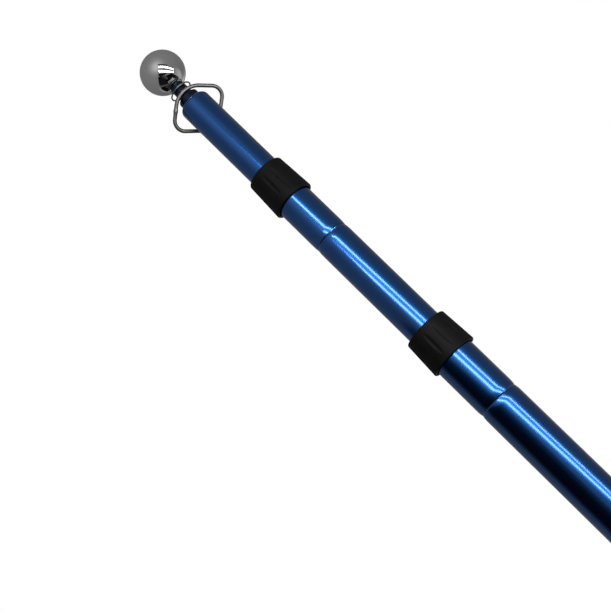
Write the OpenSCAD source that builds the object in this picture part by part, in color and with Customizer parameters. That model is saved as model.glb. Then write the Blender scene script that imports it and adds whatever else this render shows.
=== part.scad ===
// Telescopic hand-set flagpole: three nested aluminium tubes, two twist-lock collars,
// a ball finial and a swivelling wire bail for the flag. Drawn as photographed, nearly closed.
// Millimetres, +Z up the pole, origin at the centre of the foot's flat face.

/* [Tubes] */
// outside diameter of the top tube
top_od = 25; // [20:0.5:30]
// middle tube's diameter over the top tube's
mid_step = 3; // [2.8:0.1:5]
// bottom tube's diameter over the middle tube's
base_step = 4; // [3.8:0.1:6]
// wall of the bottom tube
base_wall = 1.1; // [0.8:0.1:1.3]
// wall of the middle tube
mid_wall = 0.8; // [0.6:0.1:0.9]
// wall of the top tube
top_wall = 1; // [0.8:0.1:1.6]
// cut length of each tube
tube_len = 600; // [450:10:1000]
// rounding of the top tube's spun shoulder
shoulder_r = 3.8; // [2:0.1:6]

/* [Rolled grooves] */
// depth of the stop groove in the bottom tube
base_groove_d = 0.5; // [0.25:0.05:0.6]
// depth of the stop groove in the middle tube
mid_groove_d = 0.4; // [0.25:0.05:0.5]
// full width of a rolled groove along the tube
groove_w = 11; // [6:0.5:16]
// groove centre below the lower collar
base_groove_drop = 42.6; // [30:0.2:60]
// groove centre below the upper collar
mid_groove_drop = 40; // [28:0.2:60]

/* [Lock collars] */
// length of the lower collar
lower_len = 29; // [25:0.5:40]
// length of the upper collar
upper_len = 31.5; // [25:0.5:40]
// collar diameter over the tube it screws to, at the bottom
collar_over_bottom = 5.6; // [4.8:0.1:9]
// collar diameter over the tube it screws to, at the top
collar_over_top = 2.9; // [2.4:0.1:5]
// how far the outer tube reaches up into its collar
tube_in_collar = 18; // [14:0.5:22]
// flutes round a collar
flute_count = 12; // [6:1:18]
// width of one flute
flute_w = 3.6; // [2:0.1:5]
// depth of one flute
flute_d = 0.55; // [0.2:0.05:0.7]
// length of a flute as a share of the collar
flute_share = 0.74; // [0.5:0.02:0.85]
// rounding of the collar's two lips
lip_r = 0.9; // [0.4:0.1:1.2]

/* [Collets] */
// wall of the ferrule on the tube
ferrule_t = 0.6; // [0.5:0.05:1]
// thickness of the shoulder that rests on the tube's end
collet_shoulder_t = 2.5; // [1.5:0.1:4]
// saw slots that part the collet's fingers
slot_count = 6; // [4:1:10]
// width of one saw slot
slot_w = 1.4; // [0.8:0.1:2.5]
// depth of the collar's top lip above the fingers
collar_lip_t = 2.2; // [1.5:0.1:4]

/* [Guide bushes and foot] */
// height of the guide bush's flange under its tube
bush_flange_h = 8; // [4:0.5:14]
// height of the bush's spigot inside its tube
bush_spigot_h = 18; // [10:1:30]
// wall of the bush's spigot
bush_wall = 2; // [1:0.1:4]
// thickness of the foot cap's flange
cap_flange_t = 4; // [2:0.5:8]
// height of the foot cap's spigot
cap_spigot_h = 18; // [10:1:30]
// rounding of the foot's lower edge
cap_round = 1.2; // [0.5:0.1:2]

/* [Finial] */
// diameter of the ball
ball_d = 35; // [25:0.5:50]
// diameter of the plug's step that stands out of the tube
step_d = 17; // [13:0.5:17.4]
// height of that step
step_h = 5.5; // [3:0.5:9]
// rounding of the step's upper edge
step_round = 0.8; // [0.3:0.1:1.2]
// depth of the plug inside the tube
plug_depth = 16; // [8:1:30]
// diameter of the neck under the ball
neck_d = 11.6; // [8:0.2:13]
// ball centre above the tube's end
ball_rise = 34.9; // [31:0.1:45]
// how far the neck's stud goes into the ball
stud_in = 8; // [4:0.5:12]
// diameter of the stud inside the ball
stud_d = 6; // [4:0.5:8]

/* [Flag bail] */
// wire of the bail
bail_wire_d = 3; // [2:0.1:4]
// half width of the bail, to the middle of its wire
bail_half_w = 22.5; // [21:0.5:28]
// height above the plug's step at which it crosses the neck
bail_over_step = 2.3; // [2:0.1:5]
// drop below the tube's end behind the tube
bail_drop = 21.5; // [18:0.5:34]
// share of the bail's length that lies above its side corners
bail_up_share = 0.47; // [0.42:0.01:0.56]
// bend radius of the broad arch over the neck
bail_top_r = 17.5; // [12:0.5:18.5]
// bend radius at the other three corners
bail_bend_r = 8; // [5:0.25:9]
// room between the bail and the neck or tube it passes
bail_gap = 0.6; // [0.5:0.05:1.5]
// length of the butt weld that closes the bail
bail_weld_len = 4; // [2:0.5:5]
// height of the weld's bead over the wire
bail_weld_t = 0.25; // [0.1:0.05:0.5]
// turn of the bail about the pole, as photographed
bail_turn = 6; // [-30:1:30]
// wire of the small ring round the neck
ring_wire_d = 1.2; // [0.8:0.1:1.6]
// mean diameter of the small ring
ring_mean_d = 18; // [16:0.2:22]
// height of the small ring above the tube's end
ring_h = 14.3; // [13.6:0.1:15.5]

/* [As photographed] */
// middle tube left showing between the collars
mid_shown = 135.4; // [60:0.2:400]
// top tube left showing above the upper collar
top_shown = 81.8; // [60:0.2:400]

/* [Clearances] */
// moving round faces
run_gap = 0.3; // [0.2:0.05:0.5]
// guide bush in the tube it slides in
bush_gap = 0.15; // [0.1:0.01:0.25]
// fitted pieces that do not move
fit_gap = 0.04; // [0.02:0.01:0.1]

/* [Hidden] */
mid_od = top_od + mid_step;
base_od = mid_od + base_step;
base_r = base_od / 2;
base_in_r = base_r - base_wall;
mid_r = mid_od / 2;
mid_in_r = mid_r - mid_wall;
top_r = top_od / 2;
top_in_r = top_r - top_wall;
base_top = cap_flange_t + tube_len;
lower_z = base_top - tube_in_collar;
upper_z = lower_z + lower_len + mid_shown;
mid_top = upper_z + tube_in_collar;
mid_bottom = mid_top - tube_len;
top_end = upper_z + upper_len + top_shown;
top_bottom = top_end - tube_len;
mouth_r = top_r - shoulder_r;
step_r = min(step_d / 2, mouth_r - fit_gap);
neck_r = neck_d / 2;
ball_r = ball_d / 2;
ball_z = top_end + ball_rise;
wire_r = bail_wire_d / 2;
bail_front = neck_r + bail_gap + wire_r;
bail_back = top_r + bail_gap + wire_r;
bail_cross_h = step_h + bail_over_step;
bail_dy = bail_front + bail_back;
bail_dz = bail_cross_h + bail_drop;
bail_len = norm([bail_dy, bail_dz]);
bail_tilt = atan2(bail_dy, bail_dz);
bulge_steps = 12;
flute_steps = 5;
wire_sides = 14;
bend_steps = 9;
weld_steps = 6;
big_fn = 96;
$fn = big_fn;

// one side of a rolled groove as profile points, going up the tube: two flares that meet in a crease
function groove_side(r, z, depth) = [
    for (i = [0 : bulge_steps]) let (u = 1 - abs(2 * i / bulge_steps - 1))
        [r - depth * u * u, z - groove_w / 2 + groove_w * i / bulge_steps]
];
function rev(list) = [for (i = [len(list) - 1 : -1 : 0]) list[i]];

// a drawn tube with one groove rolled into its wall
module grooved_tube(r, in_r, bottom, top, groove_z, depth) {
    rotate_extrude()
        polygon(concat(
            [[in_r, bottom], [r, bottom]], groove_side(r, groove_z, depth), [[r, top], [in_r, top]],
            rev(groove_side(in_r, groove_z, depth))));
}

module foot_cap() {
    color([0.04, 0.04, 0.045]) rotate_extrude() polygon([
        [0, 0], [base_r - cap_round, 0], [base_r, cap_round], [base_r, cap_flange_t],
        [base_in_r - fit_gap, cap_flange_t], [base_in_r - fit_gap, cap_flange_t + cap_spigot_h],
        [base_in_r - bush_wall, cap_flange_t + cap_spigot_h], [base_in_r - bush_wall, cap_flange_t],
        [0, cap_flange_t]]);
}

module bottom_tube() {
    color([0.02, 0.08, 0.3])
        grooved_tube(base_r, base_in_r, cap_flange_t, base_top, lower_z - base_groove_drop, base_groove_d);
}

module middle_tube() {
    color([0.02, 0.08, 0.3])
        grooved_tube(mid_r, mid_in_r, mid_bottom, mid_top, upper_z - mid_groove_drop, mid_groove_d);
}

// the top tube's end is spun inward to a round shoulder
module top_tube() {
    shoulder_out = [for (a = [0 : 90 / bulge_steps : 90])
        [mouth_r + shoulder_r * cos(a), top_end - shoulder_r + shoulder_r * sin(a)]];
    shoulder_in = [for (a = [90 : -90 / bulge_steps : 0])
        [mouth_r + (shoulder_r - top_wall) * cos(a),
         top_end - shoulder_r + (shoulder_r - top_wall) * sin(a)]];
    color([0.02, 0.08, 0.3]) rotate_extrude()
        polygon(concat([[top_in_r, top_bottom], [top_r, top_bottom]], shoulder_out, shoulder_in));
}

// slotted collet: a ferrule on the outer tube with fingers round the inner tube
module collet(outer_r, inner_r, z, len) {
    finger_top = len - collar_lip_t - run_gap;
    grip_r = inner_r + run_gap;
    out_r = outer_r + fit_gap + ferrule_t;
    translate([0, 0, z]) difference() {
        rotate_extrude() polygon([
            [outer_r + fit_gap, collar_lip_t], [out_r, collar_lip_t],
            [out_r, tube_in_collar + collet_shoulder_t], [(out_r + grip_r) / 2, finger_top],
            [grip_r, finger_top], [grip_r, tube_in_collar + fit_gap],
            [outer_r + fit_gap, tube_in_collar + fit_gap]]);
        for (i = [0 : slot_count - 1]) rotate([0, 0, 360 * i / slot_count])
            translate([0, -slot_w / 2, tube_in_collar + collet_shoulder_t + run_gap])
                cube([outer_r * 2, slot_w, len]);
    }
}

// twist-lock collar: a tapered grip with shallow lens-shaped flutes, hollow over its collet
module lock_collar(outer_r, inner_r, z, len) {
    bottom_r = outer_r + collar_over_bottom / 2;
    top_face_r = outer_r + collar_over_top / 2 ;
    cavity_r = outer_r + fit_gap + ferrule_t + run_gap;
    grip_r = inner_r + run_gap;
    cone_top = len - collar_lip_t;
    lean = atan((bottom_r - top_face_r) / len);
    cut_r = (flute_w * flute_w / 4 + flute_d * flute_d) / (2 * flute_d);
    half_len = len * flute_share / 2;
    long_r = (half_len * half_len + flute_d * flute_d) / (2 * flute_d);
    scoop = [for (k = [-flute_steps : flute_steps]) let (h = half_len * 1.1 * k / flute_steps)
        [cut_r - long_r + sqrt(long_r * long_r - h * h), h]];
    lip_pts = [for (a = [0 : 90 / bulge_steps * 2 : 90])
        [bottom_r - lip_r + lip_r * sin(a), lip_r - lip_r * cos(a)]];
    top_pts = [for (a = [0 : 90 / bulge_steps * 2 : 90])
        [top_face_r - lip_r + lip_r * cos(a), len - lip_r + lip_r * sin(a)]];
    translate([0, 0, z]) difference() {
        rotate_extrude() polygon(concat(
            [[cavity_r, 0]], lip_pts, top_pts,
            [[grip_r, len], [grip_r, cone_top], [(cavity_r + grip_r) / 2 + run_gap, cone_top],
             [cavity_r, tube_in_collar + collet_shoulder_t]]));
        for (i = [0 : flute_count - 1]) rotate([0, 0, 360 * (i + 0.5) / flute_count])
            translate([(bottom_r + top_face_r) / 2 + cut_r - flute_d, 0, len / 2])
                rotate([0, -lean, 0]) rotate_extrude()
                    polygon(concat([[0, scoop[0][1]]], scoop, [[0, -scoop[0][1]]]));
    }
}

module lower_collet() {
    color([0.07, 0.07, 0.075]) collet(base_r, mid_r, lower_z, lower_len);
}

module lower_lock_collar() {
    color([0.03, 0.03, 0.035]) lock_collar(base_r, mid_r, lower_z, lower_len);
}

module upper_collet() {
    color([0.07, 0.07, 0.075]) collet(mid_r, top_r, upper_z, upper_len);
}

module upper_lock_collar() {
    color([0.03, 0.03, 0.035]) lock_collar(mid_r, top_r, upper_z, upper_len);
}

// flanged bush pressed into a tube's lower end, stopped by the groove of the next tube
module guide_bush(tube_in_r, slide_r, z) {
    flange_r = slide_r - bush_gap;
    rotate_extrude() polygon([
        [tube_in_r - fit_gap - bush_wall, z - bush_flange_h], [flange_r, z - bush_flange_h],
        [flange_r, z], [tube_in_r - fit_gap, z], [tube_in_r - fit_gap, z + bush_spigot_h],
        [tube_in_r - fit_gap - bush_wall, z + bush_spigot_h]]);
}

module middle_guide_bush() {
    color([0.09, 0.09, 0.095]) guide_bush(mid_in_r, base_in_r, mid_bottom);
}

module top_guide_bush() {
    color([0.09, 0.09, 0.095]) guide_bush(top_in_r, mid_in_r, top_bottom);
}

// turned plug inside the top tube, its step standing out of the shoulder
module top_plug() {
    body_r = top_in_r - fit_gap;
    body_top = top_end - shoulder_r - fit_gap;
    step_top = top_end + step_h;
    edge = [for (a = [0 : 90 / bulge_steps * 2 : 90])
        [step_r - step_round + step_round * cos(a), step_top - step_round + step_round * sin(a)]];
    color([0.015, 0.025, 0.07]) rotate_extrude() polygon(concat(
        [[0, top_end - plug_depth], [body_r, top_end - plug_depth], [body_r, body_top], [step_r, body_top]],
        edge, [[0, step_top]]));
}

module finial_neck() {
    neck_top = ball_z - sqrt(ball_r * ball_r - neck_r * neck_r);
    color([0.012, 0.016, 0.04]) union() {
        translate([0, 0, top_end + step_h]) cylinder(r = neck_r, h = neck_top - top_end - step_h);
        translate([0, 0, top_end + step_h])
            cylinder(d = stud_d, h = ball_z - ball_r + stud_in - top_end - step_h);
    }
}

module ball_finial() {
    neck_top = ball_z - sqrt(ball_r * ball_r - neck_r * neck_r);
    color([0.6, 0.6, 0.6]) difference() {
        translate([0, 0, ball_z]) sphere(r = ball_r);
        translate([0, 0, ball_z - ball_d]) cylinder(r = ball_r, h = neck_top + fit_gap - ball_z + ball_d);
        translate([0, 0, ball_z - ball_d])
            cylinder(d = stud_d + 2 * fit_gap, h = ball_r + stud_in + fit_gap);
    }
}

// loose ring that hangs on the neck's front
module neck_ring() {
    hang = (ring_mean_d - ring_wire_d) / 2 - neck_r - run_gap;
    color([0.3, 0.29, 0.27]) rotate([0, 0, bail_turn]) translate([0, hang, top_end + ring_h])
        rotate_extrude() translate([ring_mean_d / 2, 0]) circle(d = ring_wire_d, $fn = wire_sides * 2);
}

// bail: wire bent to a rounded diamond, in front of the neck above and behind the tube below
bail_hw = bail_half_w + bail_bend_r * (sqrt(2) - 1);
// corner height whose rounded tip reaches just as far as asked
function bail_peak(reach, r) = let (k = r / bail_hw, q = reach - r)
    (q + k * sqrt(q * q + (1 - k * k) * bail_hw * bail_hw)) / (1 - k * k);
bail_corners = [
    [bail_hw, 0], [0, bail_peak(bail_len * bail_up_share, bail_top_r)],
    [-bail_hw, 0], [0, -bail_peak(bail_len * (1 - bail_up_share), bail_bend_r)]
];
bail_radii = [bail_bend_r, bail_top_r, bail_bend_r, bail_bend_r];
function unit(v) = v / norm(v);
// stations round a corner: place, direction of the bend and swelling of the wire
function bail_arc(i) =
    let (c = bail_corners[i], r = bail_radii[i],
         a = unit(bail_corners[(i + 3) % 4] - c), b = unit(bail_corners[(i + 1) % 4] - c),
         half = acos(a * b) / 2, o = c + unit(a + b) * r / sin(half),
         start = atan2(c[1] - o[1], c[0] - o[0]))
    [for (k = [0 : bend_steps]) let (g = start + (90 - half) * (2 * k / bend_steps - 1))
        [o[0] + r * cos(g), o[1] + r * sin(g), g, 0]];
// stations of the weld on the left arm, just past the arch
function bail_weld(from, to) =
    let (e = unit([to[0] - from[0], to[1] - from[1]]))
    [for (k = [0 : weld_steps]) let (d = bail_weld_len * (k / weld_steps + 0.5))
        [from[0] + e[0] * d, from[1] + e[1] * d, from[2], sin(180 * k / weld_steps)]];
bail_path = concat(
    bail_arc(0), bail_arc(1), bail_weld(bail_arc(1)[bend_steps], bail_arc(2)[0]), bail_arc(2), bail_arc(3));

module flag_bail() {
    n = len(bail_path);
    points = [for (p = bail_path) for (j = [0 : wire_sides - 1])
        let (w = 360 * j / wire_sides, r = wire_r + bail_weld_t * p[3])
        [p[0] + r * cos(w) * cos(p[2]), p[1] + r * cos(w) * sin(p[2]), r * sin(w)]];
    faces = [for (i = [0 : n - 1]) for (j = [0 : wire_sides - 1])
        let (i2 = (i + 1) % n, j2 = (j + 1) % wire_sides)
        [i * wire_sides + j, i * wire_sides + j2, i2 * wire_sides + j2, i2 * wire_sides + j]];
    color([0.3, 0.29, 0.27]) rotate([0, 0, bail_turn])
        translate([0, bail_up_share * bail_dy - bail_front, top_end + bail_cross_h - bail_up_share * bail_dz])
            rotate([90 + bail_tilt, 0, 0]) polyhedron(points, faces, convexity = 4);
}

foot_cap();
bottom_tube();
lower_collet();
lower_lock_collar();
middle_guide_bush();
middle_tube();
upper_collet();
upper_lock_collar();
top_guide_bush();
top_tube();
top_plug();
finial_neck();
ball_finial();
neck_ring();
flag_bail();
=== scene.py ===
from math import atan2, cos, hypot, pi, radians, sin, sqrt

import bmesh
import bpy
from mathutils import Matrix, Vector


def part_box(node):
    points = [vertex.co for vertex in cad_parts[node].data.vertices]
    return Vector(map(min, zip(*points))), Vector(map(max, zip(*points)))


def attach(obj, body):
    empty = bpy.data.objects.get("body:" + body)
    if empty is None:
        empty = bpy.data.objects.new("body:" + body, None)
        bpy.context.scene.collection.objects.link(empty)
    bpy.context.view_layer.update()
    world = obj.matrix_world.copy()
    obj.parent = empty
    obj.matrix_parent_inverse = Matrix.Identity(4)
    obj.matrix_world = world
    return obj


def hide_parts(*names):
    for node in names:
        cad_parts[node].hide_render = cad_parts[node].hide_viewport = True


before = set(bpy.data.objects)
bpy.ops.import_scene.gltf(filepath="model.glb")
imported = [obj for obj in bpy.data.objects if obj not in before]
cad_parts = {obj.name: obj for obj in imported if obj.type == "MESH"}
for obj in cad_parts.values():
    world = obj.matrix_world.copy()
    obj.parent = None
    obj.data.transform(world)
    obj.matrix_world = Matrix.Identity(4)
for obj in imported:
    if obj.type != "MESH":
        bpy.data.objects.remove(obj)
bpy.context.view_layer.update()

# Foot cap: the plain black end of the bottom tube, moulded rubber pushed into the tube
# by its spigot, with a softened lower edge and a fine pebbled skin.
def turn(profile, steps=160, closed=True, guard=0.0015):
    """A bmesh of the (radius, height) profile turned once round the pole's axis."""
    bm = bmesh.new()
    ring = [bm.verts.new((r, 0, z)) for r, z in profile]
    pairs = list(zip(ring, ring[1:])) + ([(ring[-1], ring[0])] if closed else [])
    line = [bm.edges.new(pair) for pair in pairs]
    for edge in [e for e in line if e.calc_length() > 3 * guard]:
        # a ring near each end keeps the long straight stretch from shading into its rounded ends
        near, far, length = edge.verts[0], edge.verts[1], edge.calc_length()
        rest, added = bmesh.utils.edge_split(edge, near, guard / length)
        split, last = bmesh.utils.edge_split(edge, far, guard / (length - guard))
        ring += [added, last]
        line += [rest, split]
    bmesh.ops.spin(bm, geom=ring + line, cent=(0, 0, 0), axis=(0, 0, 1),
                   angle=2 * pi, steps=steps, use_merge=True)
    bmesh.ops.remove_doubles(bm, verts=bm.verts, dist=1e-6)
    bmesh.ops.recalc_face_normals(bm, faces=bm.faces)
    return bm


def ease_edges(bm, width, segments=3, sharper_than=30):
    """Rounds every outer edge of the turned piece that is sharper than the angle given."""
    sharp = [e for e in bm.edges
             if e.is_manifold and e.is_convex and e.calc_face_angle() > radians(sharper_than)]
    bmesh.ops.bevel(bm, geom=sharp, offset=width, segments=segments, affect="EDGES",
                    profile=0.5, material=-1, clamp_overlap=True)


def set_piece(bm, name, node, body, finish, sharper_than=35):
    """Makes the bmesh the piece that stands for a CAD node and rides on its body."""
    mesh = bpy.data.meshes.new(name)
    bm.to_mesh(mesh)
    bm.free()
    mesh.polygons.foreach_set("use_smooth", [True] * len(mesh.polygons))
    mesh.set_sharp_from_angle(angle=radians(sharper_than))
    piece = bpy.data.objects.new(name, mesh)
    bpy.context.scene.collection.objects.link(piece)
    mesh.materials.append(finish)
    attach(piece, body)
    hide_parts(node)


def new_finish(name, color, metallic, roughness):
    """A Principled material with its nodes, ready for the detail of one finish."""
    finish = bpy.data.materials.new(name)
    finish.use_nodes = True
    shader = finish.node_tree.nodes["Principled BSDF"]
    shader.inputs["Base Color"].default_value = (*color, 1)
    shader.inputs["Metallic"].default_value = metallic
    shader.inputs["Roughness"].default_value = roughness
    return finish, finish.node_tree.nodes, finish.node_tree.links, shader


def object_noise(n, l, scale, detail=3, stretch=(1, 1, 1)):
    """Noise on Object coordinates, stretched along the piece's own axes."""
    place = n.new("ShaderNodeTexCoord")
    mapping = n.new("ShaderNodeMapping")
    mapping.inputs["Scale"].default_value = stretch
    noise = n.new("ShaderNodeTexNoise")
    noise.inputs["Scale"].default_value = scale
    noise.inputs["Detail"].default_value = detail
    l.new(place.outputs["Object"], mapping.inputs["Vector"])
    l.new(mapping.outputs["Vector"], noise.inputs["Vector"])
    return noise.outputs["Fac"]


def spread(n, l, source, low, high, from_low=0.3, from_high=0.7):
    """Maps a range of a value, such as a texture's middle, to another range."""
    ramp = n.new("ShaderNodeMapRange")
    ramp.inputs["From Min"].default_value = from_low
    ramp.inputs["From Max"].default_value = from_high
    ramp.inputs["To Min"].default_value = low
    ramp.inputs["To Max"].default_value = high
    l.new(source, ramp.inputs["Value"])
    return ramp.outputs["Result"]


def two_tone(n, l, shader, pattern, dark, light):
    """Colours a shader between two close tones."""
    mix = n.new("ShaderNodeMix")
    mix.data_type = "RGBA"
    mix.inputs["A"].default_value = (*dark, 1)
    mix.inputs["B"].default_value = (*light, 1)
    l.new(spread(n, l, pattern, 0, 1), mix.inputs["Factor"])
    l.new(mix.outputs["Result"], shader.inputs["Base Color"])


def uneven_gloss(n, l, shader, pattern, low, high):
    """Lets a shader's roughness wander between two values."""
    l.new(spread(n, l, pattern, low, high), shader.inputs["Roughness"])


def fine_relief(n, l, shader, pattern, strength, distance):
    """Adds relief too fine to model to a shader."""
    bump = n.new("ShaderNodeBump")
    bump.inputs["Strength"].default_value = strength
    bump.inputs["Distance"].default_value = distance
    l.new(pattern, bump.inputs["Height"])
    l.new(bump.outputs["Normal"], shader.inputs["Normal"])


foot_rubber, n, l, shader = new_finish("foot_rubber", (0.025, 0.025, 0.027), 0, 0.72)
pebble = object_noise(n, l, 2600, 4)
two_tone(n, l, shader, pebble, (0.018, 0.018, 0.019), (0.034, 0.034, 0.036))
uneven_gloss(n, l, shader, pebble, 0.62, 0.82)
fine_relief(n, l, shader, pebble, 0.35, 0.0002)

cap_top, cap_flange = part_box("foot_cap")[1][2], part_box("bottom_tube")[0][2]
cap_r, cap_spigot_r, cap_hollow_r, cap_bevel, cap_soft = 0.016, 0.01486, 0.0129, 0.0012, 0.0004
cap = turn([(0, 0), (cap_r - cap_bevel, 0), (cap_r, cap_bevel), (cap_r, cap_flange),
            (cap_spigot_r, cap_flange), (cap_spigot_r, cap_top), (cap_hollow_r, cap_top),
            (cap_hollow_r, cap_flange), (0, cap_flange)], closed=False)
ease_edges(cap, cap_soft)
set_piece(cap, "foot_cap_piece", "foot_cap", "bottom_section", foot_rubber)

# Tubes: drawn aluminium, bright blue anodised, with faint lines along the draw. Each outer tube
# has a shallow groove rolled into it below its collar; the top tube's end is spun round inward.
def rolled_groove(r, z, depth, width, crease=0, count=60):
    """Profile points of one side of a rolled groove, going up.

    Two flares meet in a soft bend, with a fine line of the crease's depth pressed into its floor.
    """
    crowding, softness, crease_half = 0.6, 0.06, 0.0006
    flare_run = sqrt(1 + softness ** 2) - softness
    line = []
    for i in range(count + 1):
        step = 2 * i / count - 1
        off = step * abs(step) ** crowding
        flare = 1 - (sqrt(off * off + softness ** 2) - softness) / flare_run
        pinch = max(0, 1 - abs(off * width / 2) / crease_half)
        line.append((r - depth * flare ** 2 - crease * pinch, z + width / 2 * off))
    return line


blue_anodised, n, l, shader = new_finish("blue_anodised", (0.007, 0.098, 0.365), 1, 0.22)
draw_lines = object_noise(n, l, 500, 2, (1, 1, 0.01))
clouds = object_noise(n, l, 22, 2)
two_tone(n, l, shader, clouds, (0.006, 0.094, 0.35), (0.008, 0.102, 0.38))
uneven_gloss(n, l, shader, draw_lines, 0.21, 0.23)
shader.inputs["Coat Weight"].default_value = 0.85
shader.inputs["Coat Roughness"].default_value = 0.12

groove_width, crease_depth, end_soft = 0.011, 0.0002, 0.0002
for tube, body, r, wall, groove_z, depth in (
        ("bottom_tube", "bottom_section", 0.016, 0.0011, 0.5434, 0.0005),
        ("middle_tube", "middle_section", 0.014, 0.0008, 0.7104, 0.0004)):
    low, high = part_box(tube)
    outside = rolled_groove(r, groove_z, depth, groove_width, crease_depth)
    inside = rolled_groove(r - wall, groove_z, depth, groove_width)
    bm = turn([(r - wall, low[2]), (r, low[2])] + outside
              + [(r, high[2]), (r - wall, high[2])] + inside[::-1])
    ease_edges(bm, end_soft, 2)
    set_piece(bm, tube + "_piece", tube, body, blue_anodised)

top_r, top_wall, spin_r, spin_steps = 0.0125, 0.001, 0.0038, 20
low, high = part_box("top_tube")
tube_end = high[2]
mouth_r, spin_z, spin_in_r = top_r - spin_r, tube_end - spin_r, spin_r - top_wall
quarter = [pi / 2 * i / spin_steps for i in range(spin_steps + 1)]
bm = turn([(top_r - top_wall, low[2]), (top_r, low[2])]
          + [(mouth_r + spin_r * cos(a), spin_z + spin_r * sin(a)) for a in quarter]
          + [(mouth_r + spin_in_r * cos(a), spin_z + spin_in_r * sin(a)) for a in quarter[::-1]])
ease_edges(bm, end_soft, 2, 40)
set_piece(bm, "top_tube_piece", "top_tube", "top_section", blue_anodised)

# Lock collars: black moulded grips that screw down on the collets. Each tapers upward, has
# softened lips and shallow lens-shaped flutes for the fingers, and a fine sparked texture.
collar_plastic, n, l, shader = new_finish("collar_plastic", (0.005, 0.005, 0.0056), 0, 0.55)
spark = object_noise(n, l, 3800, 3)
wear = object_noise(n, l, 160, 4)
two_tone(n, l, shader, wear, (0.0036, 0.0036, 0.0042), (0.0052, 0.0052, 0.0058))
uneven_gloss(n, l, shader, wear, 0.5, 0.6)
fine_relief(n, l, shader, spark, 0.25, 0.00008)
shader.inputs["Specular IOR Level"].default_value = 0.11

flutes, flute_w, flute_d, flute_share, flute_cuts = 12, 0.0036, 0.00055, 0.74, 24
foot_over, head_over, cavity_over, grip_over = 0.0028, 0.00145, 0.00094, 0.0003
lip_r, lip_t, lip_steps, side_rows = 0.0009, 0.0022, 8, 44
cone_over, cone_foot, skin = 0.0003, 0.0205, 0.0002
lip = [pi / 2 * i / lip_steps for i in range(lip_steps + 1)]
for collar, body, outer_r, inner_r in (
        ("lower_lock_collar", "lower_collar", 0.016, 0.014),
        ("upper_lock_collar", "upper_collar", 0.014, 0.0125)):
    low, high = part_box(collar)
    foot, head = low[2], high[2]
    length = head - foot
    foot_r, head_r = outer_r + foot_over, outer_r + head_over
    cavity_r, grip_r = outer_r + cavity_over, inner_r + grip_over
    foot_lip = [(foot_r - lip_r + lip_r * sin(a), foot + lip_r - lip_r * cos(a)) for a in lip]
    head_lip = [(head_r - lip_r + lip_r * cos(a), head - lip_r + lip_r * sin(a)) for a in lip]
    side = [(foot_r + (head_r - foot_r) * i / side_rows,
             foot + lip_r + (length - 2 * lip_r) * i / side_rows) for i in range(1, side_rows)]
    cavity = [(grip_r, head), (grip_r, head - lip_t),
              ((cavity_r + grip_r) / 2 + cone_over, head - lip_t), (cavity_r, foot + cone_foot)]
    bm = turn([(cavity_r, foot)] + foot_lip + side + head_lip + cavity, steps=flutes * flute_cuts)
    middle, half = foot + length / 2, length * flute_share / 2
    for v in bm.verts:
        r = hypot(v.co.x, v.co.y)
        if r < cavity_r + skin or abs(v.co.z - middle) > half:
            continue
        turn_share = (atan2(v.co.y, v.co.x) / (2 * pi) * flutes) % 1 - 0.5
        across = turn_share * 2 * pi / flutes * r / (flute_w / 2)
        along = (v.co.z - middle) / half
        depth = flute_d * max(0, 1 - across ** 2 - along ** 2)
        v.co.x *= (r - depth) / r
        v.co.y *= (r - depth) / r
    set_piece(bm, collar + "_piece", collar, body, collar_plastic, 50)

# Collets and guide bushes: plain moulded nylon inside the collars and tubes. The slotted collets
# show only as a rim under the collars, so the solids serve as they are.
collet_nylon, n, l, shader = new_finish("collet_nylon", (0.05, 0.05, 0.053), 0, 0.55)
grain = object_noise(n, l, 1500, 3)
two_tone(n, l, shader, grain, (0.04, 0.04, 0.043), (0.06, 0.06, 0.063))
uneven_gloss(n, l, shader, grain, 0.48, 0.62)
for name in ("lower_collet", "upper_collet", "middle_guide_bush", "top_guide_bush"):
    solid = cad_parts[name].data
    solid.materials.clear()
    solid.materials.append(collet_nylon)

# Plug and neck: turned from bar and anodised blue-black. The plug fills the tube's end and its
# step stands out of the shoulder; the neck carries the ball and is where the bail turns.
dark_anodised, n, l, shader = new_finish("dark_anodised", (0.008, 0.021, 0.055), 1, 0.26)
lathe = object_noise(n, l, 1400, 3, (0.05, 0.05, 1))
two_tone(n, l, shader, lathe, (0.006, 0.016, 0.042), (0.01, 0.026, 0.068))
uneven_gloss(n, l, shader, lathe, 0.2, 0.34)
fine_relief(n, l, shader, lathe, 0.06, 0.00004)
shader.inputs["Coat Weight"].default_value = 0.4
shader.inputs["Coat Roughness"].default_value = 0.12

plug_low, plug_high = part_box("top_plug")
step_r, plug_r, plug_soft, seat_gap = 0.0085, 0.01146, 0.0008, 0.00004
plug_z = spin_z - seat_gap
plug = turn([(0, plug_low[2]), (plug_r, plug_low[2]), (plug_r, plug_z), (step_r, plug_z),
             (step_r, plug_high[2]), (0, plug_high[2])], closed=False)
ease_edges(plug, plug_soft, 5)
set_piece(plug, "top_plug_piece", "top_plug", "top_section", dark_anodised)

neck_low, neck_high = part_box("finial_neck")
neck_r, stud_r, neck_soft, ball_r = 0.0058, 0.003, 0.0003, 0.0175
ball_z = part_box("ball_finial")[1][2] - ball_r
seat_z = ball_z - sqrt(ball_r ** 2 - neck_r ** 2)
neck = turn([(0, neck_low[2]), (neck_r, neck_low[2]), (neck_r, seat_z), (stud_r, seat_z),
             (stud_r, neck_high[2]), (0, neck_high[2])], closed=False)
ease_edges(neck, neck_soft)
set_piece(neck, "finial_neck_piece", "finial_neck", "top_section", dark_anodised)

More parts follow.
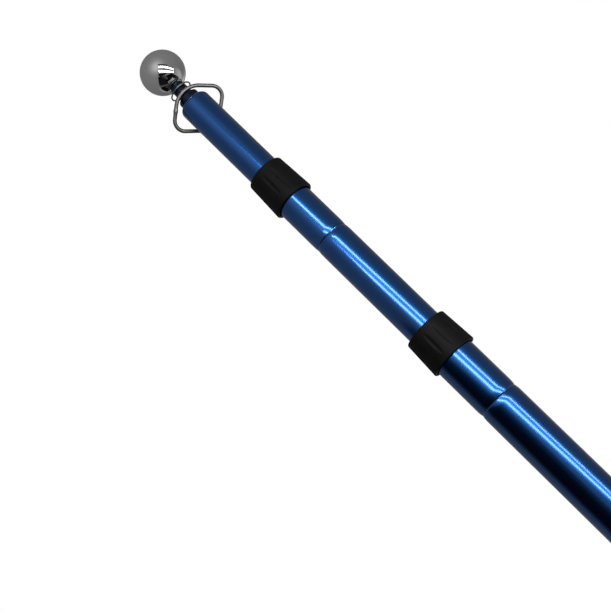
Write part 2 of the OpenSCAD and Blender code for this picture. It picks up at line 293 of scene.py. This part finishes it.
# Ball finial: a hollow metal ball, spun, polished and chromed, screwed on the neck's stud.
# Handling leaves faint smears on the mirror.
ball_chrome, n, l, shader = new_finish("ball_chrome", (0.74, 0.74, 0.75), 1, 0.03)
smear = object_noise(n, l, 120, 5)
two_tone(n, l, shader, smear, (0.71, 0.71, 0.72), (0.77, 0.77, 0.78))
uneven_gloss(n, l, shader, smear, 0.02, 0.045)

ball_rows, hole_r = 72, stud_r + seat_gap
first = atan2(seat_z - ball_z, neck_r)
arc = [first + (pi / 2 - first) * i / ball_rows for i in range(ball_rows)]
ball = turn([(0, neck_high[2]), (hole_r, neck_high[2]), (hole_r, seat_z + seat_gap)]
            + [(ball_r * cos(a), ball_z + ball_r * sin(a)) for a in arc]
            + [(0, ball_z + ball_r)], closed=False)
set_piece(ball, "ball_finial_piece", "ball_finial", "top_section", ball_chrome, 40)

# Flag bail and neck ring: drawn steel wire with a dull nickel finish. The bail is bent to a rounded
# diamond that passes in front of the neck and behind the tube, and is closed by a butt weld.
wire_nickel, n, l, shader = new_finish("wire_nickel", (0.2, 0.192, 0.175), 1, 0.42)
drawn = object_noise(n, l, 900, 3)
tarnish = object_noise(n, l, 90, 3)
two_tone(n, l, shader, tarnish, (0.188, 0.18, 0.163), (0.212, 0.203, 0.186))
uneven_gloss(n, l, shader, drawn, 0.4, 0.45)
fine_relief(n, l, shader, drawn, 0.005, 0.00003)

wire_r, wire_sides, bend_r, arch_r, bend_steps = 0.0015, 24, 0.008, 0.0175, 20
weld_long, weld_swell, weld_steps = 0.004, 0.00025, 12
bail_gap, cross_h, drop, up_share, turned_by = 0.0006, 0.0078, 0.0215, 0.47, radians(6)
front, back, rise = neck_r + bail_gap + wire_r, top_r + bail_gap + wire_r, cross_h + drop
bail_long, bail_tilt = hypot(front + back, rise), atan2(front + back, rise)
side_reach = 0.022493
half_w = side_reach + bend_r * (sqrt(2) - 1)


def corner_beyond(reach, r):
    """Height of the corner whose rounded tip reaches just as far as asked."""
    k, q = r / half_w, reach - r
    return (q + k * sqrt(q * q + (1 - k * k) * half_w ** 2)) / (1 - k * k)


corners = [(Vector((half_w, 0, 0)), bend_r),
           (Vector((0, corner_beyond(bail_long * up_share, arch_r), 0)), arch_r),
           (Vector((-half_w, 0, 0)), bend_r),
           (Vector((0, -corner_beyond(bail_long * (1 - up_share), bend_r), 0)), bend_r)]
start = (corners[0][0] + corners[3][0]) / 2
run = (corners[0][0] - corners[3][0]).normalized()
across_run = run.to_track_quat("Z", "Y").to_matrix().to_4x4()
bm = bmesh.new()
bmesh.ops.create_circle(bm, segments=wire_sides, radius=wire_r,
                        matrix=Matrix.Translation(start) @ across_run)


def draw_wire(rim, here, there, swell=1):
    """Draws the open end of the wire on to a place and returns its new rim."""
    swept = bmesh.ops.extrude_edge_only(bm, edges=rim)["geom"]
    ends = [g for g in swept if isinstance(g, bmesh.types.BMVert)]
    bmesh.ops.translate(bm, verts=ends, vec=there - here)
    bmesh.ops.scale(bm, verts=ends, vec=(swell, swell, swell), space=Matrix.Translation(-there))
    return [g for g in swept if isinstance(g, bmesh.types.BMEdge) and all(v in ends for v in g.verts)]


rim, here = list(bm.edges), start
for i, (corner, r) in enumerate(corners):
    into = (corner - corners[i - 1][0]).normalized()
    out = (corners[(i + 1) % 4][0] - corner).normalized()
    turn_angle = into.angle(out)
    reach = r * sin(turn_angle / 2) / cos(turn_angle / 2)
    stop = corner - into * reach
    rim = draw_wire(rim, here, stop)
    bent = bmesh.ops.spin(bm, geom=rim + list({v for e in rim for v in e.verts}),
                          cent=stop + Vector((-into.y, into.x, 0)) * r, axis=(0, 0, 1),
                          angle=turn_angle, steps=bend_steps)
    rim = [g for g in bent["geom_last"] if isinstance(g, bmesh.types.BMEdge)]
    here = corner + out * reach
    if r == arch_r:
        # the weld's bead, just past the arch over the neck
        girth = wire_r
        for k in range(weld_steps + 1):
            there = corner + out * (reach + weld_long * (k / weld_steps + 0.5))
            wider = wire_r + weld_swell * sin(pi * k / weld_steps)
            rim = draw_wire(rim, here, there, wider / girth)
            here, girth = there, wider
draw_wire(rim, here, start)
bmesh.ops.remove_doubles(bm, verts=bm.verts, dist=1e-5)
bmesh.ops.recalc_face_normals(bm, faces=bm.faces)
bail_middle = (0, up_share * (front + back) - front, tube_end + cross_h - up_share * rise)
hung = (Matrix.Rotation(turned_by, 4, "Z") @ Matrix.Translation(bail_middle)
        @ Matrix.Rotation(pi / 2 + bail_tilt, 4, "X"))
bmesh.ops.transform(bm, matrix=hung, verts=bm.verts)
set_piece(bm, "flag_bail_piece", "flag_bail", "bail", wire_nickel, 60)

low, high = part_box("neck_ring")
ring_wire, ring_mean, ring_gap, ring_sides, ring_steps = 0.0006, 0.009, 0.0003, 16, 96
ring_z, ring_hang = (low[2] + high[2]) / 2, ring_mean - ring_wire - neck_r - ring_gap
around = [2 * pi * i / ring_sides for i in range(ring_sides)]
ring = turn([(ring_mean + ring_wire * cos(a), ring_z + ring_wire * sin(a)) for a in around],
            steps=ring_steps)
bmesh.ops.transform(ring, verts=ring.verts,
                    matrix=Matrix.Rotation(turned_by, 4, "Z") @ Matrix.Translation((0, ring_hang, 0)))
set_piece(ring, "neck_ring_piece", "neck_ring", "bail", wire_nickel, 60)

# Studio: a pale floor that fades into a white surround, and two long lamps under a hood. The metal
# mirrors a grey tent with a bright patch in front, a glowing skirt and a rear opening, and the dark
# flags in it. The camera sees neither tent nor flags, and they cast no shadow.
floor_mesh = bpy.data.meshes.new("studio_floor")
bm = bmesh.new()
bmesh.ops.create_circle(bm, cap_ends=True, segments=96, radius=4)
bm.to_mesh(floor_mesh)
bm.free()
floor = bpy.data.objects.new("studio_floor", floor_mesh)
bpy.context.scene.collection.objects.link(floor)


def worked_out(n, l, operation, *terms, kind="ShaderNodeMath", result="Value"):
    """The result of a Math or Vector Math node on sockets and plain numbers."""
    node = n.new(kind)
    node.operation = operation
    for socket, term in zip(node.inputs, terms):
        if isinstance(term, bpy.types.NodeSocket):
            l.new(term, socket)
        else:
            socket.default_value = term
    return node.outputs[result]


def seen_plainly(n, l):
    """1 for the rays that see the surround itself: from the camera, a mirror or a glass."""
    rays = n.new("ShaderNodeLightPath").outputs
    direct = worked_out(n, l, "MAXIMUM", rays["Is Camera Ray"], rays["Is Glossy Ray"])
    return worked_out(n, l, "MAXIMUM", direct, rays["Is Transmission Ray"])


pale_floor, n, l, shader = new_finish("pale_floor", (0.8, 0.8, 0.8), 0, 0.9)
fade_from, fade_to, fade_least = 0.25, 1.2, 0.6
white = n.new("ShaderNodeEmission")
blend = n.new("ShaderNodeMixShader")
place = n.new("ShaderNodeTexCoord").outputs["Object"]
away = worked_out(n, l, "LENGTH", place, kind="ShaderNodeVectorMath")
fade = spread(n, l, away, fade_least, 1, fade_from, fade_to)
l.new(worked_out(n, l, "MULTIPLY", fade, seen_plainly(n, l)), blend.inputs["Fac"])
l.new(shader.outputs["BSDF"], blend.inputs[1])
l.new(white.outputs["Emission"], blend.inputs[2])
l.new(blend.outputs["Shader"], n["Material Output"].inputs["Surface"])
# only the lamps and the room are sampled as lights, which keeps grain out of the highlights
pale_floor.cycles.emission_sampling = "NONE"
floor_mesh.materials.append(pale_floor)


def glow_by(n, l, strength):
    """Makes a finish shine by a strength that varies over it, and by nothing else."""
    shine = n.new("ShaderNodeEmission")
    l.new(strength, shine.inputs["Strength"])
    l.new(shine.outputs["Emission"], n["Material Output"].inputs["Surface"])


def hang_card(name, bm, finish):
    """Sets a card that only shows in reflections."""
    mesh = bpy.data.meshes.new(name)
    bm.to_mesh(mesh)
    bm.free()
    finish.cycles.emission_sampling = "NONE"
    mesh.materials.append(finish)
    card = bpy.data.objects.new(name, mesh)
    bpy.context.scene.collection.objects.link(card)
    card.visible_camera = card.visible_diffuse = card.visible_shadow = False


tent_r, tent_z, tent_rows, cloth_z = 1.2, 0.6, 40, 0.004
patch_way, patch_focus, patch_light = (-0.06, -0.87, 0.49), 9, 0.38
door_way, door_focus, door_light, skirt_light = (0.25, 0.97, 0), 30, 0.5, 0.3
tent_grey, n, l, _ = new_finish("tent_grey", (0, 0, 0), 0, 1)
place = n.new("ShaderNodeTexCoord").outputs["Object"]
height = n.new("ShaderNodeSeparateXYZ")
l.new(place, height.inputs[0])
vectors = {"kind": "ShaderNodeVectorMath"}
from_middle = worked_out(n, l, "SUBTRACT", place, (0, 0, tent_z), result="Vector", **vectors)
toward = worked_out(n, l, "NORMALIZE", from_middle, result="Vector", **vectors)
frontal = worked_out(n, l, "DOT_PRODUCT", toward, patch_way, **vectors)
behind = worked_out(n, l, "DOT_PRODUCT", place, door_way, **vectors)
patch = worked_out(n, l, "POWER", worked_out(n, l, "MAXIMUM", frontal, 0), patch_focus)
door = worked_out(n, l, "POWER", spread(n, l, behind, 0, 1, 0, 1.2), door_focus)
rear_skirt = spread(n, l, behind, 0, skirt_light, -0.3, 0.6)
low_down = spread(n, l, height.outputs["Z"], 1, 0, 0.02, 0.4)
light = worked_out(n, l, "MULTIPLY_ADD", patch, patch_light, spread(n, l, frontal, 0.15, 0.22, -1, 0.5))
light = worked_out(n, l, "MULTIPLY_ADD", rear_skirt, low_down, light)
glow_by(n, l, worked_out(n, l, "MULTIPLY_ADD", door, door_light, light))
hem = atan2(cloth_z - tent_z, sqrt(tent_r ** 2 - (cloth_z - tent_z) ** 2))
arc = [hem + (pi / 2 - hem) * i / tent_rows for i in range(tent_rows)]
tent = turn([(0, cloth_z)] + [(tent_r * cos(a), tent_z + tent_r * sin(a)) for a in arc]
            + [(0, tent_z + tent_r)], steps=64, closed=False)
hang_card("grey_tent", tent, tent_grey)

flag_black = new_finish("flag_black", (0, 0, 0), 0, 1)[0]
flag_dim, n, l, _ = new_finish("flag_dim", (0, 0, 0), 0, 1)
edge = n.new("ShaderNodeSeparateXYZ")
l.new(n.new("ShaderNodeTexCoord").outputs["Object"], edge.inputs[0])
glow_by(n, l, worked_out(n, l, "MAXIMUM",
                         spread(n, l, edge.outputs["X"], 0.008, 0.09, -0.22, -0.02),
                         spread(n, l, edge.outputs["Y"], 0, 0.12, -0.08, 0.03)))
flag_z = 0.005
for name, finish, points in (
        ("side_flag", flag_dim,
         ((-0.3, 0.03, flag_z), (-0.3, 0.03, 0.68), (-0.3, -0.4, 0.7), (-0.3, -0.4, flag_z))),
        ("corner_flag", flag_dim,
         ((-0.3, -0.4, flag_z), (-0.3, -0.4, 0.7), (-0.03, -0.4, 0.59), (-0.03, -0.4, flag_z))),
        ("front_flag", flag_black,
         ((-0.56, -1, flag_z), (-0.56, -1, 0.52), (-0.42, -1, 0.62), (0.3, -1, flag_z))),
        ("floor_flag", flag_black,
         [(x, y, flag_z) for x, y in (
             (-0.95, 0.38), (-0.98, -0.25), (-0.3, -1), (0.5, -0.5), (0.6, 0.4), (0.3, 0.4),
             (0.25, -0.2), (-0.22, -0.2), (-0.26, 0.4), (-0.3, 0.9), (-0.55, 0.86))]),
        ("skirt_flag", flag_black,
         ((-0.98, -0.25, flag_z), (-0.98, -0.25, 0.16), (-0.95, 0.38, 0.18), (-0.95, 0.38, flag_z))),
        ("rear_flag", flag_black,
         ((-0.95, 0.38, flag_z), (-0.95, 0.38, 0.18), (-0.55, 0.86, 0.26), (-0.55, 0.86, flag_z)))):
    bm = bmesh.new()
    bm.faces.new([bm.verts.new(point) for point in points])
    hang_card(name, bm, finish)

camera_at = Vector((-0.0481, -0.8695, 0.4481))
right = Vector((0.70828, 0.18818, -0.68039))
up = Vector((0.70594, -0.1888, 0.68265))
ahead = Vector((0, 0.96382, 0.26657))


def facing_ahead(at):
    """The placement at a point that looks the way the camera looks."""
    return Matrix(((right.x, up.x, -ahead.x, at.x), (right.y, up.y, -ahead.y, at.y),
                   (right.z, up.z, -ahead.z, at.z), (0, 0, 0, 1)))


lens_data = bpy.data.cameras.new("camera")
lens_data.sensor_width = 36
lens_data.lens = 74.06
lens_data.clip_start = 0.01
camera = bpy.data.objects.new("camera", lens_data)
camera.matrix_world = facing_ahead(camera_at)
bpy.context.scene.collection.objects.link(camera)
bpy.context.scene.camera = camera

lamp_depth, lamp_left, lamp_long, lamp_thick = 0.437, -0.225, 1.05, 0.06
hood_left, hood_right, hood_low, hood_high = -0.3, 0.2, 0.45, 0.515


def lamp_plane(along, above):
    """A point of the plane that the lamps hang in, by its offsets from the line of sight."""
    return camera_at + ahead * lamp_depth + right * along + up * above


for name, above, watts in (("low_lamp", 0.152, 2.03), ("high_lamp", 0.352, 2.38)):
    lamp_data = bpy.data.lights.new(name, "AREA")
    lamp_data.shape = "RECTANGLE"
    lamp_data.size, lamp_data.size_y = lamp_long, lamp_thick
    lamp_data.energy = watts
    lamp = bpy.data.objects.new(name, lamp_data)
    lamp.matrix_world = facing_ahead(lamp_plane(lamp_left + lamp_long / 2, above))
    lamp.visible_camera = False
    bpy.context.scene.collection.objects.link(lamp)
bm = bmesh.new()
bm.faces.new([bm.verts.new(lamp_plane(along, above)) for along, above in (
    (hood_left, hood_low), (hood_right, hood_low), (hood_right, hood_high), (hood_left, hood_high))])
hang_card("lamp_hood", bm, flag_black)

world = bpy.data.worlds.new("studio_room")
bpy.context.scene.world = world
world.use_nodes = True
n, l = world.node_tree.nodes, world.node_tree.links
room, seen, pick = n["Background"], n.new("ShaderNodeBackground"), n.new("ShaderNodeMixShader")
for surround, strength in ((room, 0.22), (seen, 1)):
    surround.inputs["Color"].default_value = (1, 1, 1, 1)
    surround.inputs["Strength"].default_value = strength
l.new(seen_plainly(n, l), pick.inputs["Fac"])
l.new(room.outputs["Background"], pick.inputs[1])
l.new(seen.outputs["Background"], pick.inputs[2])
l.new(pick.outputs["Shader"], n["World Output"].inputs["Surface"])

bpy.context.scene.view_settings.view_transform = "Standard"
